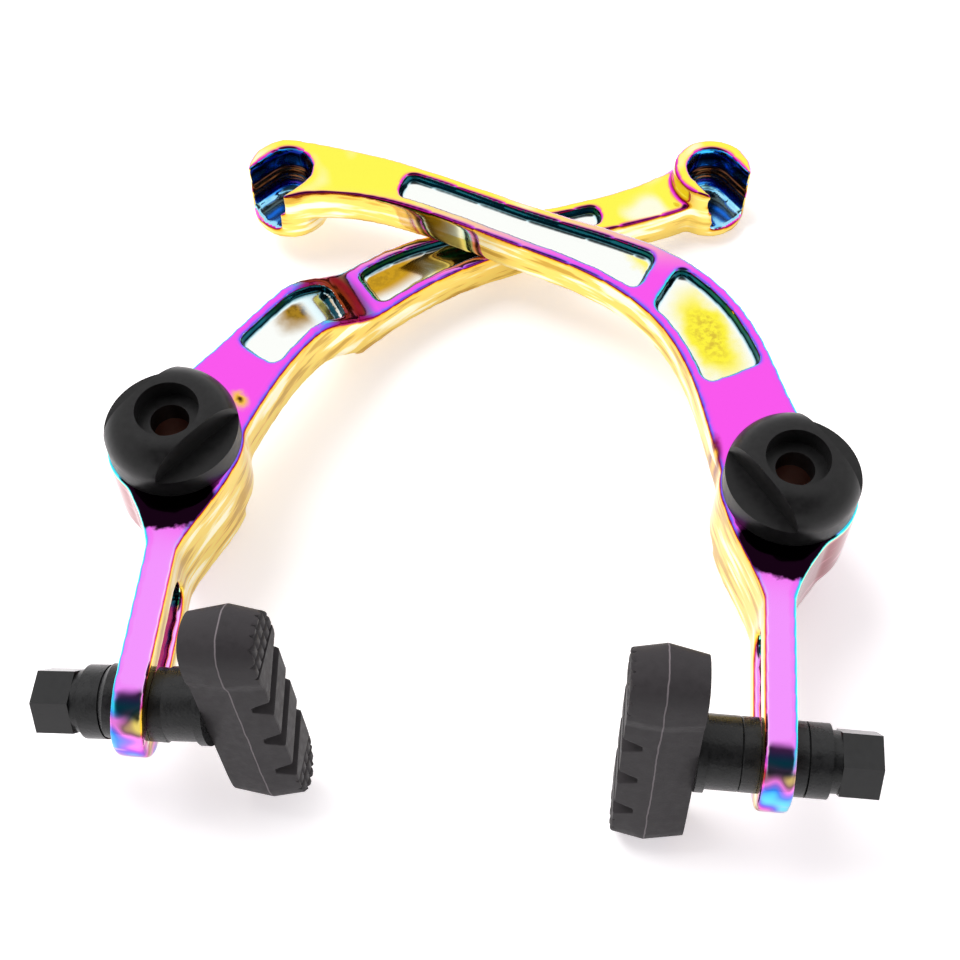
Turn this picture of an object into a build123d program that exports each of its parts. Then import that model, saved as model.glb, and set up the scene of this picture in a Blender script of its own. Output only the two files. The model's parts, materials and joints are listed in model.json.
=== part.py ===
from build123d import *
import os
from math import atan2, cos, pi, radians, sin, sqrt, tan

# A pair of crossing U-shaped rim brake arms with their caps, springs and pads, lying on a table.
# World frame: millimetres, table at z = 0, +Z up, +Y away from the pads, origin under the middle
# of the whole pair. Each arm is drawn in a top plane with x to the right, y towards the cable
# ends and z out of the top face, with its own pivot as origin. Outline points are given for the
# right arm, whose beam runs to -x, and are turned over for the left one.

os.makedirs("parts", exist_ok=True)

RIGHT = 1
LEFT = -1
SIDE_NAMES = {RIGHT: "right", LEFT: "left"}

# Driving dimensions of the pair
pivot_spacing = 104.8
pair_shift = (0.3, -12.0)
boss_depth = 24.5
boss_barrel_radius = 8.6
boss_body_radius = 11.9
boss_body_depth = 15.0
edge_round = 1.2

# Driving dimensions of the beams
right_beam_depth = 8.0
left_beam_depth = 8.0
left_root_depth = 10.0
joggle_length = 5.0
joggle_wall = 7.0
joggle_round = 1.5
pocket_rim = 2.2
pocket_depth = 4.0
pocket_corner = 1.6

# Driving dimensions of the cable ends
barrel_radius = 7.6
barrel_height = 12.5
socket_radius = 4.8
socket_step_radius = 3.9
socket_step_depth = 5.5
socket_floor = 2.6
mouth_angle = 230.0

# Driving dimensions of the legs
leg_thickness = 5.4
leg_depth = 17.6
leg_offset = -1.6
stud_drop = 45.0
stud_depth = 8.9
slot_width = 7.4
slot_travel = 18.0
leg_root_drop = 20.0

# Driving dimensions of the pivot pieces
bushing_radius = 6.0
frame_post_radius = 4.5
running_clearance = 0.05
bushing_rise = 1.6
spring_wire = 1.5
spring_mean_radius = 7.85
spring_turns = 3.5
spring_pitch = 1.8
spring_seat = 0.3
spring_tang = 2.0
tang_clearance = 0.1
spring_pocket_radius = 9.3
spring_pocket_depth = 8.5

# Driving dimensions of the tension caps
cap_radius = 11.4
cap_height = 9.3
cap_skirt = 3.9
cap_counterbore_radius = 5.4
cap_counterbore_depth = 3.6
cap_bolt_radius = 3.3
cap_web = 4.0
cap_flat_distance = 6.5
cap_ledge = 4.1
cap_flat_angle = 217.0
cap_wall = 1.9
cap_recess = 1.5
hub_clearance = 0.05
hub_wall = 0.7

# Driving dimensions of the pad hardware, outwards from the middle of the leg
stud_radius = 3.0
stud_clearance = 0.08
stud_recess = 1.2
washer_radius = 6.0
inner_ball_radius = 8.0
outer_ball_radius = 7.6
ball_bore_radius = 4.45
ball_gap = 0.2
cup_spacer_end = 10.9
cup_washer_end = 8.5
lock_washer_thickness = 1.6
lock_washer_radius = 5.0
nut_across_flats = 10.0
nut_height = 6.3
flange_radius = 6.6
flange_thickness = 1.4
plate_length = 28.0
plate_width = 6.0
plate_thickness = 1.5
plate_sink = 2.5

# Driving dimensions of the pads
pad_length = 43.8
pad_width = 11.0
pad_end_width = 12.2
pad_end_length = 9.0
pad_end_round = 4.0
pad_back = 6.4
pad_front = 5.6
pad_draft = 8.0
groove_width = 1.6
groove_depth = 3.2
groove_pitch = 8.0
groove_slant = 28.0
sipe_width = 0.5
sipe_depth = 0.8
sipe_pitch = 2.6
sipe_area = 8.0
pad_spin = {RIGHT: 77.5, LEFT: 80.0}
stud_tilt = {RIGHT: 0.0, LEFT: 8.0}

# The pair lies on the rim of each boss and of the left cable barrel, which gives its tilt
barrel_centre = {RIGHT: (-95.5, 64.1), LEFT: (-91.3, 74.8)}
joggle_drop = right_beam_depth
left_underside = joggle_drop + left_beam_depth
rest_reach = barrel_centre[LEFT][1] + barrel_radius - boss_barrel_radius
rest_tilt = atan2(boss_depth - left_underside, rest_reach)
rest_height = boss_barrel_radius * sin(rest_tilt) + boss_depth * cos(rest_tilt)
rest = Plane(
    origin=(pair_shift[0], pair_shift[1], rest_height),
    x_dir=(1, 0, 0),
    z_dir=(0, sin(rest_tilt), cos(rest_tilt)),
)

beam_outer = {
    RIGHT: [(8.2, 7.0), (1.9, 15.5), (-3.2, 28.5), (-10.4, 41.0), (-19.7, 48.9), (-42.4, 57.1),
            (-74.0, 67.7), (-93.0, 71.3)],
    LEFT: [(8.2, 7.0), (-0.3, 16.2), (-9.7, 30.2), (-19.9, 43.4), (-31.0, 53.2), (-45.0, 59.8),
           (-59.2, 65.4), (-73.6, 71.4), (-86.0, 80.2)],
}
beam_inner = {
    RIGHT: [(-93.0, 57.2), (-79.0, 57.9), (-66.0, 54.6), (-50.0, 48.6), (-34.1, 42.0),
            (-22.9, 32.6), (-16.3, 19.6), (-12.8, 7.0), (-10.0, -2.0)],
    LEFT: [(-88.0, 68.4), (-75.0, 62.2), (-62.0, 57.2), (-48.0, 50.5), (-37.0, 42.6),
           (-27.2, 32.4), (-18.4, 20.4), (-13.3, 8.4), (-10.0, -2.0)],
}

# Each pocket spans a share of the outer edge and a share of the inner edge, in that order
short_pocket = {RIGHT: ((0.178, 0.39), (0.638, 0.80)), LEFT: ((0.172, 0.358), (0.66, 0.822))}
long_pocket = {RIGHT: ((0.43, 0.828), (0.168, 0.60)), LEFT: ((0.42, 0.828), (0.165, 0.585))}
pocket_points = 5

joggle_start = (-23.5, 37.8)
joggle_heading = (-0.79, 0.61)
leg_outer = [(9.4, -5.5), (4.9, -12.4), (2.2, -17.5), (leg_offset + leg_thickness / 2, -leg_root_drop - 1)]
leg_inner = [(leg_offset - leg_thickness / 2, -leg_root_drop - 1), (-6.0, -16.5), (-9.2, -9.6), (-11.2, -3.5)]
tip_radius = leg_depth / 2
leg_end = stud_drop + tip_radius + 1


def turned(points, side):
    """Outline points of the right arm, turned over for the left one."""
    return [(side * x, y) for x, y in points]


def arm_plane(side, height=0.0):
    """Plane of one arm's top face, or one parallel to it, with the pivot as origin."""
    return Plane(
        origin=rest.from_local_coords((side * pivot_spacing / 2, 0, height)),
        x_dir=rest.x_dir,
        z_dir=rest.z_dir,
    )


def arm_vector(x, y, z):
    """Direction given in the arms' own frame."""
    return rest.x_dir * x + rest.y_dir * y + rest.z_dir * z


def beam_face(side):
    """Plan face of one beam, from the boss to the cable end and back."""
    outer = turned(beam_outer[side], side)
    inner = turned(beam_inner[side], side)
    with BuildSketch() as face:
        with BuildLine():
            Spline(*outer)
            Line(outer[-1], inner[0])
            Spline(*inner)
            Line(inner[-1], outer[0])
        make_face()
    return face.sketch


def make_leg(side):
    """Flat leg with a round tip and a long slot for the pad stud."""
    half = leg_thickness / 2
    with BuildPart() as leg:
        with BuildSketch(arm_plane(side)):
            with BuildLine():
                Spline(*turned(leg_outer, side))
                Polyline(*turned([
                    leg_outer[-1],
                    (leg_offset + half, -leg_end),
                    (leg_offset - half, -leg_end),
                    leg_inner[0],
                ], side))
                Spline(*turned(leg_inner, side))
                Line(*turned([leg_inner[-1], leg_outer[0]], side))
            make_face()
        extrude(amount=-leg_depth)
        side_view = Plane(
            origin=arm_plane(side).from_local_coords((0, -stud_drop, -tip_radius)),
            x_dir=arm_vector(0, 1, 0),
            z_dir=arm_vector(1, 0, 0),
        )
        with BuildSketch(side_view):
            Circle(tip_radius)
            with Locations((stud_drop / 2, 0)):
                Rectangle(stud_drop, leg_depth)
        extrude(amount=2 * boss_body_radius, both=True, mode=Mode.INTERSECT)
        with BuildSketch(side_view):
            with Locations((slot_travel / 2, tip_radius - stud_depth)):
                SlotCenterToCenter(slot_travel, slot_width)
        extrude(amount=2 * boss_body_radius, both=True, mode=Mode.SUBTRACT)
    return leg.part


def make_beam(side):
    """Curved beam; the left one steps down to pass under the right one."""
    depth = right_beam_depth if side == RIGHT else left_underside
    edge = beam_face(side)
    with BuildPart() as beam:
        with BuildSketch(arm_plane(side)):
            add(edge)
        extrude(amount=-depth)
        if side == LEFT:
            start = arm_plane(side).from_local_coords((side * joggle_start[0], joggle_start[1], 0))
            heading = arm_vector(side * joggle_heading[0], joggle_heading[1], 0)
            step_view = Plane(origin=start, x_dir=heading, z_dir=heading.cross(rest.z_dir))
            far = pivot_spacing
            slope = joggle_length / joggle_drop
            heel = -joggle_wall * sqrt(1 + slope * slope)
            with BuildSketch(step_view):
                with BuildLine():
                    FilletPolyline(
                        (-far, 0),
                        (0, 0),
                        (joggle_length, -joggle_drop),
                        (far, -joggle_drop),
                        radius=joggle_round,
                    )
                    FilletPolyline(
                        (far, -left_underside),
                        (heel + slope * left_underside, -left_underside),
                        (heel + slope * left_root_depth, -left_root_depth),
                        (-far, -left_root_depth),
                        radius=joggle_round,
                    )
                    Line((far, -joggle_drop), (far, -left_underside))
                    Line((-far, 0), (-far, -left_root_depth))
                make_face()
            extrude(amount=far, both=True, mode=Mode.INTERSECT)
    return beam.part


def rim_points(side, outline, reach):
    """Points of a pocket's edge: part of the beam's outline, one rim further in."""
    line = Spline(*turned(outline[side], side), mode=Mode.PRIVATE)
    points = []
    for step in range(pocket_points):
        place = reach[0] + (reach[1] - reach[0]) * step / (pocket_points - 1)
        along = line % place
        points.append(line @ place + Vector(-along.Y, along.X) * side * pocket_rim)
    return points


def pocket_face(side, outer_reach, inner_reach):
    """Plan face of a lightening pocket between two webs across the beam."""
    outer_points = rim_points(side, beam_outer, outer_reach)
    inner_points = rim_points(side, beam_inner, inner_reach)
    with BuildSketch() as pocket:
        with BuildLine():
            outer_line = Spline(*outer_points)
            inner_line = Spline(*inner_points)
            Line(outer_line @ 1, inner_line @ 0)
            Line(inner_line @ 1, outer_line @ 0)
        make_face()
        fillet(pocket.vertices(), pocket_corner)
    return pocket.sketch


def make_arm(side):
    """One brake arm: boss, beam, cable end and slotted leg in one forging."""
    top = arm_plane(side)
    cable_x, cable_y = turned([barrel_centre[side]], side)[0]
    barrel_top = 0.0 if side == RIGHT else barrel_height - left_underside
    cable_end = Plane(
        origin=top.from_local_coords((cable_x, cable_y, barrel_top)),
        x_dir=arm_vector(side * cos(radians(mouth_angle)), sin(radians(mouth_angle)), 0),
        z_dir=rest.z_dir,
    )
    beam = make_beam(side)
    leg = make_leg(side)
    short_face = pocket_face(side, *short_pocket[side])
    long_face = pocket_face(side, *long_pocket[side])
    with BuildPart() as arm:
        add(beam)
        add(leg)
        with BuildSketch(top):
            Circle(boss_body_radius)
        extrude(amount=-boss_body_depth)
        with BuildSketch(top):
            Circle(boss_barrel_radius)
        extrude(amount=-boss_depth)
        with BuildSketch(cable_end):
            Circle(barrel_radius)
        extrude(amount=-barrel_height)
        with BuildSketch(top):
            add(short_face)
        extrude(amount=-pocket_depth, mode=Mode.SUBTRACT)
        with BuildSketch(top.offset(0.0 if side == RIGHT else -joggle_drop)):
            add(long_face)
        extrude(amount=-pocket_depth, mode=Mode.SUBTRACT)
        with BuildSketch(cable_end):
            Circle(socket_radius)
            with Locations((barrel_radius, 0)):
                Rectangle(2 * barrel_radius, 2 * socket_radius)
        extrude(amount=-socket_step_depth, mode=Mode.SUBTRACT)
        with BuildSketch(cable_end):
            Circle(socket_step_radius)
            with Locations((barrel_radius, 0)):
                Rectangle(2 * barrel_radius, 2 * socket_step_radius)
        extrude(amount=socket_floor - barrel_height, mode=Mode.SUBTRACT)
        with BuildSketch(top):
            Circle(spring_pocket_radius)
        extrude(amount=-spring_pocket_depth, mode=Mode.SUBTRACT)
        with BuildSketch(top.offset(-spring_pocket_depth)):
            with Locations((spring_mean_radius, 0)):
                Circle(spring_wire / 2 + tang_clearance)
        extrude(amount=-spring_tang, mode=Mode.SUBTRACT)
        with BuildSketch(top):
            Circle(bushing_radius)
        extrude(amount=-boss_depth, mode=Mode.SUBTRACT)
    return arm.part


def make_bushing(side):
    """Plain bearing bush, pressed in the boss, that turns on the frame's post."""
    with BuildPart() as bushing:
        with BuildSketch(arm_plane(side, bushing_rise)):
            Circle(bushing_radius)
            Circle(frame_post_radius + running_clearance, mode=Mode.SUBTRACT)
        extrude(amount=-(bushing_rise + boss_depth))
    return bushing.part


def make_spring(side):
    """Torsion spring round the bushing, from a tang in the boss to a tang in the cap."""
    bottom = -spring_pocket_depth + spring_wire / 2 + spring_seat
    coil_height = spring_turns * spring_pitch
    coil_plane = arm_plane(side, bottom)
    turn_end = radians(360 * spring_turns)
    with BuildPart() as spring:
        with BuildLine(coil_plane):
            Helix(spring_pitch, coil_height, spring_mean_radius)
        start = Plane(
            origin=coil_plane.from_local_coords((spring_mean_radius, 0, 0)),
            z_dir=arm_vector(0, 2 * pi * spring_mean_radius, spring_pitch),
        )
        with BuildSketch(start):
            Circle(spring_wire / 2)
        sweep()
        with BuildSketch(coil_plane):
            with Locations((spring_mean_radius, 0)):
                Circle(spring_wire / 2)
        extrude(amount=-spring_tang)
        end = (spring_mean_radius * cos(turn_end), spring_mean_radius * sin(turn_end))
        with BuildSketch(coil_plane.offset(coil_height)):
            with Locations(end):
                Circle(spring_wire / 2)
        extrude(amount=spring_tang)
    return spring.part


def make_cap(side):
    """Domed spring-tension cap with a counterbored bolt hole and two wrench flats."""
    top = arm_plane(side)
    section = Plane(origin=top.origin, x_dir=rest.x_dir, z_dir=-rest.y_dir)
    shoulder = cap_height - cap_skirt
    lip = cap_radius - shoulder
    hub_radius = bushing_radius + hub_clearance
    floor = cap_height - cap_counterbore_depth
    with BuildPart() as cap:
        with BuildSketch(section):
            with BuildLine():
                Polyline(
                    (lip, cap_height),
                    (cap_counterbore_radius, cap_height),
                    (cap_counterbore_radius, floor),
                    (cap_bolt_radius, floor),
                    (cap_bolt_radius, floor - cap_web),
                    (hub_radius, floor - cap_web),
                    (hub_radius, 0),
                    (cap_radius, 0),
                    (cap_radius, cap_skirt),
                )
                RadiusArc((cap_radius, cap_skirt), (lip, cap_height), -shoulder)
            make_face()
        revolve(axis=Axis(top.origin, rest.z_dir))
        with BuildSketch(top):
            Circle(cap_radius - cap_wall)
            Circle(hub_radius + hub_wall, mode=Mode.SUBTRACT)
        extrude(amount=cap_recess, mode=Mode.SUBTRACT)
        for turn in (0, 180):
            angle = radians(cap_flat_angle + turn)
            flat = Plane(
                origin=top.from_local_coords((0, 0, cap_ledge)),
                x_dir=arm_vector(side * cos(angle), sin(angle), 0),
                z_dir=rest.z_dir,
            )
            with BuildSketch(flat):
                with Locations((cap_flat_distance + cap_radius, 0)):
                    Rectangle(2 * cap_radius, 4 * cap_radius)
            extrude(amount=cap_height, mode=Mode.SUBTRACT)
    return cap.part


def stack_plane(side, distance, tilted=True):
    """Plane across the stud, at a distance inwards from the middle of the leg."""
    tilt = radians(stud_tilt[side]) if tilted else 0.0
    inward = arm_vector(-side * cos(tilt), 0, sin(tilt))
    centre = arm_plane(side).from_local_coords((side * leg_offset, -stud_drop, -stud_depth))
    return Plane(origin=centre + inward * distance, x_dir=arm_vector(0, 1, 0), z_dir=inward)


def make_washer(side, start, end):
    """Flat washer on the stud between two distances from the middle of the leg."""
    with BuildPart() as washer:
        with BuildSketch(stack_plane(side, start)):
            Circle(lock_washer_radius)
            Circle(stud_radius, mode=Mode.SUBTRACT)
        extrude(amount=end - start)
    return washer.part


def stack_section(side, tilted=True):
    """Plane through the stud axis, x outwards from the axis and y towards the wheel."""
    middle = stack_plane(side, 0, tilted)
    return Plane(origin=middle.origin, x_dir=middle.x_dir, z_dir=middle.x_dir.cross(middle.z_dir))


def ball_arc(radius, start_x, end_x, toward):
    """Arc of a ball section between two distances from the stud axis."""
    stops = (start_x, (start_x + end_x) / 2, end_x)
    return ThreePointArc(*[(x, toward * sqrt(radius ** 2 - x ** 2)) for x in stops])


def make_ball_washer(side, ball_radius, toward):
    """Washer flat on the leg, with a round face centred on the middle of the leg."""
    section = stack_section(side, False)
    foot = toward * leg_thickness / 2
    with BuildPart() as washer:
        with BuildSketch(section):
            with BuildLine():
                crown = ball_arc(ball_radius, ball_bore_radius, washer_radius, toward)
                Polyline(crown @ 1, (washer_radius, foot), (ball_bore_radius, foot), crown @ 0)
            make_face()
        revolve(axis=Axis(section.origin, section.y_dir))
    return washer.part


def make_cup(side, ball_radius, toward, end):
    """Washer or spacer with a hollow seat that swivels on its ball washer."""
    section = stack_section(side)
    bore = stud_radius + stud_clearance
    back = toward * end
    with BuildPart() as cup:
        with BuildSketch(section):
            with BuildLine():
                seat = ball_arc(ball_radius + ball_gap, bore, washer_radius, toward)
                Polyline(seat @ 1, (washer_radius, back), (bore, back), seat @ 0)
            make_face()
        revolve(axis=Axis(section.origin, section.y_dir))
    return cup.part


def pad_plane(side, distance):
    """Plane across the stud, turned so that x runs along the pad."""
    base = stack_plane(side, distance)
    spin = radians(pad_spin[side])
    tilt = radians(stud_tilt[side])
    upward = arm_vector(side * sin(tilt), 0, cos(tilt))
    return Plane(origin=base.origin, x_dir=base.x_dir * cos(spin) + upward * sin(spin), z_dir=base.z_dir)


def make_stud(side):
    """Threaded stud with its flange and the backing plate that is moulded into the pad."""
    flange_end = cup_spacer_end + flange_thickness
    nut_end = cup_washer_end + lock_washer_thickness + nut_height
    with BuildPart() as stud:
        with BuildSketch(stack_plane(side, -nut_end + stud_recess)):
            Circle(stud_radius)
        extrude(amount=nut_end - stud_recess + flange_end)
        with BuildSketch(stack_plane(side, cup_spacer_end)):
            Circle(flange_radius)
        extrude(amount=flange_thickness)
        with BuildSketch(stack_plane(side, flange_end)):
            Circle(stud_radius)
        extrude(amount=plate_sink)
        with BuildSketch(pad_plane(side, flange_end + plate_sink)):
            SlotOverall(plate_length, plate_width)
        extrude(amount=plate_thickness)
    return stud.part


def make_nut(side):
    """Hexagon nut on the outer end of the stud."""
    start = cup_washer_end + lock_washer_thickness
    with BuildPart() as nut:
        with BuildSketch(stack_plane(side, -start)):
            RegularPolygon(nut_across_flats / 2, 6, major_radius=False)
            Circle(stud_radius, mode=Mode.SUBTRACT)
        extrude(amount=-nut_height)
    return nut.part


def make_pad_half(side, depth):
    """Half of a pad on one side of its parting line: a waist between two wider round ends."""
    parting = cup_spacer_end + flange_thickness + pad_back
    end_shift = (pad_length - pad_end_length) / 2
    shrink = 2 * abs(depth) * tan(radians(pad_draft))
    with BuildPart() as half:
        for height, inset in ((0, 0), (depth, shrink)):
            with BuildSketch(pad_plane(side, parting + height)):
                Rectangle(pad_length - pad_end_length, pad_width - inset)
        loft()
        for place in (-end_shift, end_shift):
            for height, inset in ((0, 0), (depth, shrink)):
                with BuildSketch(pad_plane(side, parting + height)):
                    with Locations((place, 0)):
                        RectangleRounded(pad_end_length - inset, pad_end_width - inset, pad_end_round - inset / 2)
            loft()
    return half.part


def make_pad(side):
    """Rubber pad with a drafted back and front, slanted grooves and sipes at both ends."""
    parting = cup_spacer_end + flange_thickness + pad_back
    halves = [make_pad_half(side, -pad_back), make_pad_half(side, pad_front)]
    stud = make_stud(side)
    with BuildPart() as pad:
        add(halves)
        face_plane = pad_plane(side, parting + pad_front)
        with BuildSketch(face_plane):
            for place in (-1, 0, 1):
                with Locations(Location((place * groove_pitch, 0), groove_slant * -side)):
                    Rectangle(groove_width, 3 * pad_width)
        extrude(amount=-groove_depth, mode=Mode.SUBTRACT)
        sipe_middle = 1.5 * groove_pitch + 0.5 * sipe_area
        with BuildSketch(face_plane):
            with Locations((sipe_middle, 0), (-sipe_middle, 0)):
                with GridLocations(sipe_pitch, 0, 3, 1):
                    Rectangle(sipe_width, 2 * pad_width)
                with GridLocations(0, sipe_pitch, 1, 3):
                    Rectangle(sipe_area, sipe_width)
        extrude(amount=-sipe_depth, mode=Mode.SUBTRACT)
        add(stud, mode=Mode.SUBTRACT)
    return pad.part


def write(name, part):
    """Label one finished piece and write it out."""
    part.label = name
    export_step(part, f"parts/{name}.step")


for side in (RIGHT, LEFT):
    own = SIDE_NAMES[side]
    washer_end = -cup_washer_end - lock_washer_thickness
    write(f"{own}_arm", make_arm(side))
    write(f"{own}_bushing", make_bushing(side))
    write(f"{own}_spring", make_spring(side))
    write(f"{own}_cap", make_cap(side))
    write(f"{own}_inner_ball_washer", make_ball_washer(side, inner_ball_radius, 1))
    write(f"{own}_outer_ball_washer", make_ball_washer(side, outer_ball_radius, -1))
    write(f"{own}_cup_spacer", make_cup(side, inner_ball_radius, 1, cup_spacer_end))
    write(f"{own}_cup_washer", make_cup(side, outer_ball_radius, -1, cup_washer_end))
    write(f"{own}_lock_washer", make_washer(side, -cup_washer_end, washer_end))
    write(f"{own}_nut", make_nut(side))
    write(f"{own}_pad_stud", make_stud(side))
    write(f"{own}_pad", make_pad(side))
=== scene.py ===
"""Looks of a crossing pair of U brake arms with their caps, springs, studs and pads."""

import json
import logging
from dataclasses import dataclass, field, replace
from enum import Enum, IntEnum
from functools import reduce
from math import cos, pi, radians, sin
from typing import Any, Iterable

import bmesh
import bpy
import numpy as np
from mathutils import Matrix, Vector

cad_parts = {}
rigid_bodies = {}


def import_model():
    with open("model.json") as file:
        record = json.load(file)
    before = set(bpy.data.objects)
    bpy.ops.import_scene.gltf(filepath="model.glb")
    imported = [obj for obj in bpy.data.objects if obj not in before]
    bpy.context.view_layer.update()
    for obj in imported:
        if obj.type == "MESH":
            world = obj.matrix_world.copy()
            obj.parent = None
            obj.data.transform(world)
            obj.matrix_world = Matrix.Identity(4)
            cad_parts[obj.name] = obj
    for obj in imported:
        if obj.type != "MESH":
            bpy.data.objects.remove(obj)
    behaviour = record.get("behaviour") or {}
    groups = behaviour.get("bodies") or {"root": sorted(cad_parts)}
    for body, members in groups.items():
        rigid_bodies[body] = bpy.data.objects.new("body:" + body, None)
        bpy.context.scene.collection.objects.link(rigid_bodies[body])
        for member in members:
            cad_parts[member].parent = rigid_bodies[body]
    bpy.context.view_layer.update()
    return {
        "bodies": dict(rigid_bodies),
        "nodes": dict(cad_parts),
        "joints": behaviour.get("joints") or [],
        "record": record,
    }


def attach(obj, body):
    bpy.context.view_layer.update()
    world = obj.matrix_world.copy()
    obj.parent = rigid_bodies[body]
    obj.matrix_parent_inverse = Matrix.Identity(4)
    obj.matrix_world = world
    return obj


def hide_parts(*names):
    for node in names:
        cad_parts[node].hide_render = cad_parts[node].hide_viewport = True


LOG = logging.getLogger("u_brake")
MM = 0.001

# The curve between a screen's colours and linear light.
SCREEN_FULL = 255
SCREEN_DARK = 0.04045
SCREEN_DIVISOR = 12.92
SCREEN_OFFSET = 0.055
SCREEN_POWER = 2.4

Colour = tuple[float, float, float]
Socket = Any
Range = tuple[float, float]
Place = tuple[float, float]
# A texture is a noise's scale and detail, and a waver adds how far it swings.
Texture = tuple[float, float]
Waver = tuple[float, float, float]


class Side(Enum):
    """The two halves of the pair, named by where their pivot lies, with the sign of its x."""

    RIGHT = 1
    LEFT = -1

    @property
    def word(self) -> str:
        """The side's name as the frame's nodes and bodies spell it."""
        return self.name.lower()


def srgb(red: int, green: int, blue: int) -> Colour:
    """Turn a colour seen on a screen into the linear values of a shader.

    A dark share is divided by a fixed number, and a brighter one is raised to a power.

    Args:
        red: Red, from 0 to 255.
        green: Green, on the same scale.
        blue: Blue, on the same scale.

    Returns:
        The three linear values, from 0 to 1.
    """
    shares = np.array([red, green, blue]) / SCREEN_FULL
    raised = ((shares + SCREEN_OFFSET) / (1.0 + SCREEN_OFFSET)) ** SCREEN_POWER
    linear = np.where(shares <= SCREEN_DARK, shares / SCREEN_DIVISOR, raised)
    return tuple(float(value) for value in linear)


def ease(share: np.ndarray) -> np.ndarray:
    """Ease a share from 0 to 1, level at both ends: three times its square less twice its cube."""
    return share * share * (3.0 - 2.0 * share)


def add_object(name: str, data: Any) -> bpy.types.Object:
    """Make an object at the origin and put it into the scene.

    Args:
        name: The object's name.
        data: Its mesh, camera or light.

    Returns:
        The new object.
    """
    made = bpy.data.objects.new(name, data)
    bpy.context.scene.collection.objects.link(made)
    return made


@dataclass(frozen=True)
class ArmsFrame:
    """The arms' own frame: x to the right, y towards the cable ends, z out of the top faces.

    Its origin is halfway between the two pivots, on the level of the top faces.
    """

    origin: Vector
    across: Vector
    along: Vector
    up: Vector

    @classmethod
    def read(cls, frame: dict[str, Any]) -> "ArmsFrame":
        """Work the frame out from the two cap joints.


        Returns:
            The frame, in metres.
        """
        joints = {joint["name"]: joint for joint in frame["joints"]}
        turn = joints["right_cap_turn"]
        right = Vector(turn["pos_m"])
        left = Vector(joints["left_cap_turn"]["pos_m"])
        up = Vector(turn["axis"]).normalized()
        across = (right - left).normalized()
        return cls((right + left) / 2, across, up.cross(across), up)

    def point(self, x: float, y: float, z: float = 0.0) -> Vector:
        """A place given in the arms' own frame, in metres, as a place in the world."""
        return self.origin + self.direction(x, y, z)

    def direction(self, x: float, y: float, z: float = 0.0) -> Vector:
        """A direction given in the arms' own frame, as one in the world."""
        return self.across * x + self.along * y + self.up * z

    def measure(self, places: np.ndarray) -> np.ndarray:
        """Places in the world, one a row, as places in the arms' own frame."""
        axes = np.array([self.across, self.along, self.up])
        return (places - np.array(self.origin)) @ axes.T


@dataclass(frozen=True)
class Patch:
    """A soft-edged ellipse in plan, placed in the arms' own frame, with colours for rim and heart."""

    centre: Place
    half: Place
    turn_deg: float
    rim: Colour
    heart: Colour = (0.0, 0.0, 0.0)


# The colour sockets of the Mix node, by number.
MIX_SHARE, MIX_FIRST, MIX_SECOND, MIX_RESULT = 0, 6, 7, 2
NOISE_MIDDLE = 0.5
# How much of a patch's soft edge lies outside its rim.
RIM_OVERLAP = 0.2


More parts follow.
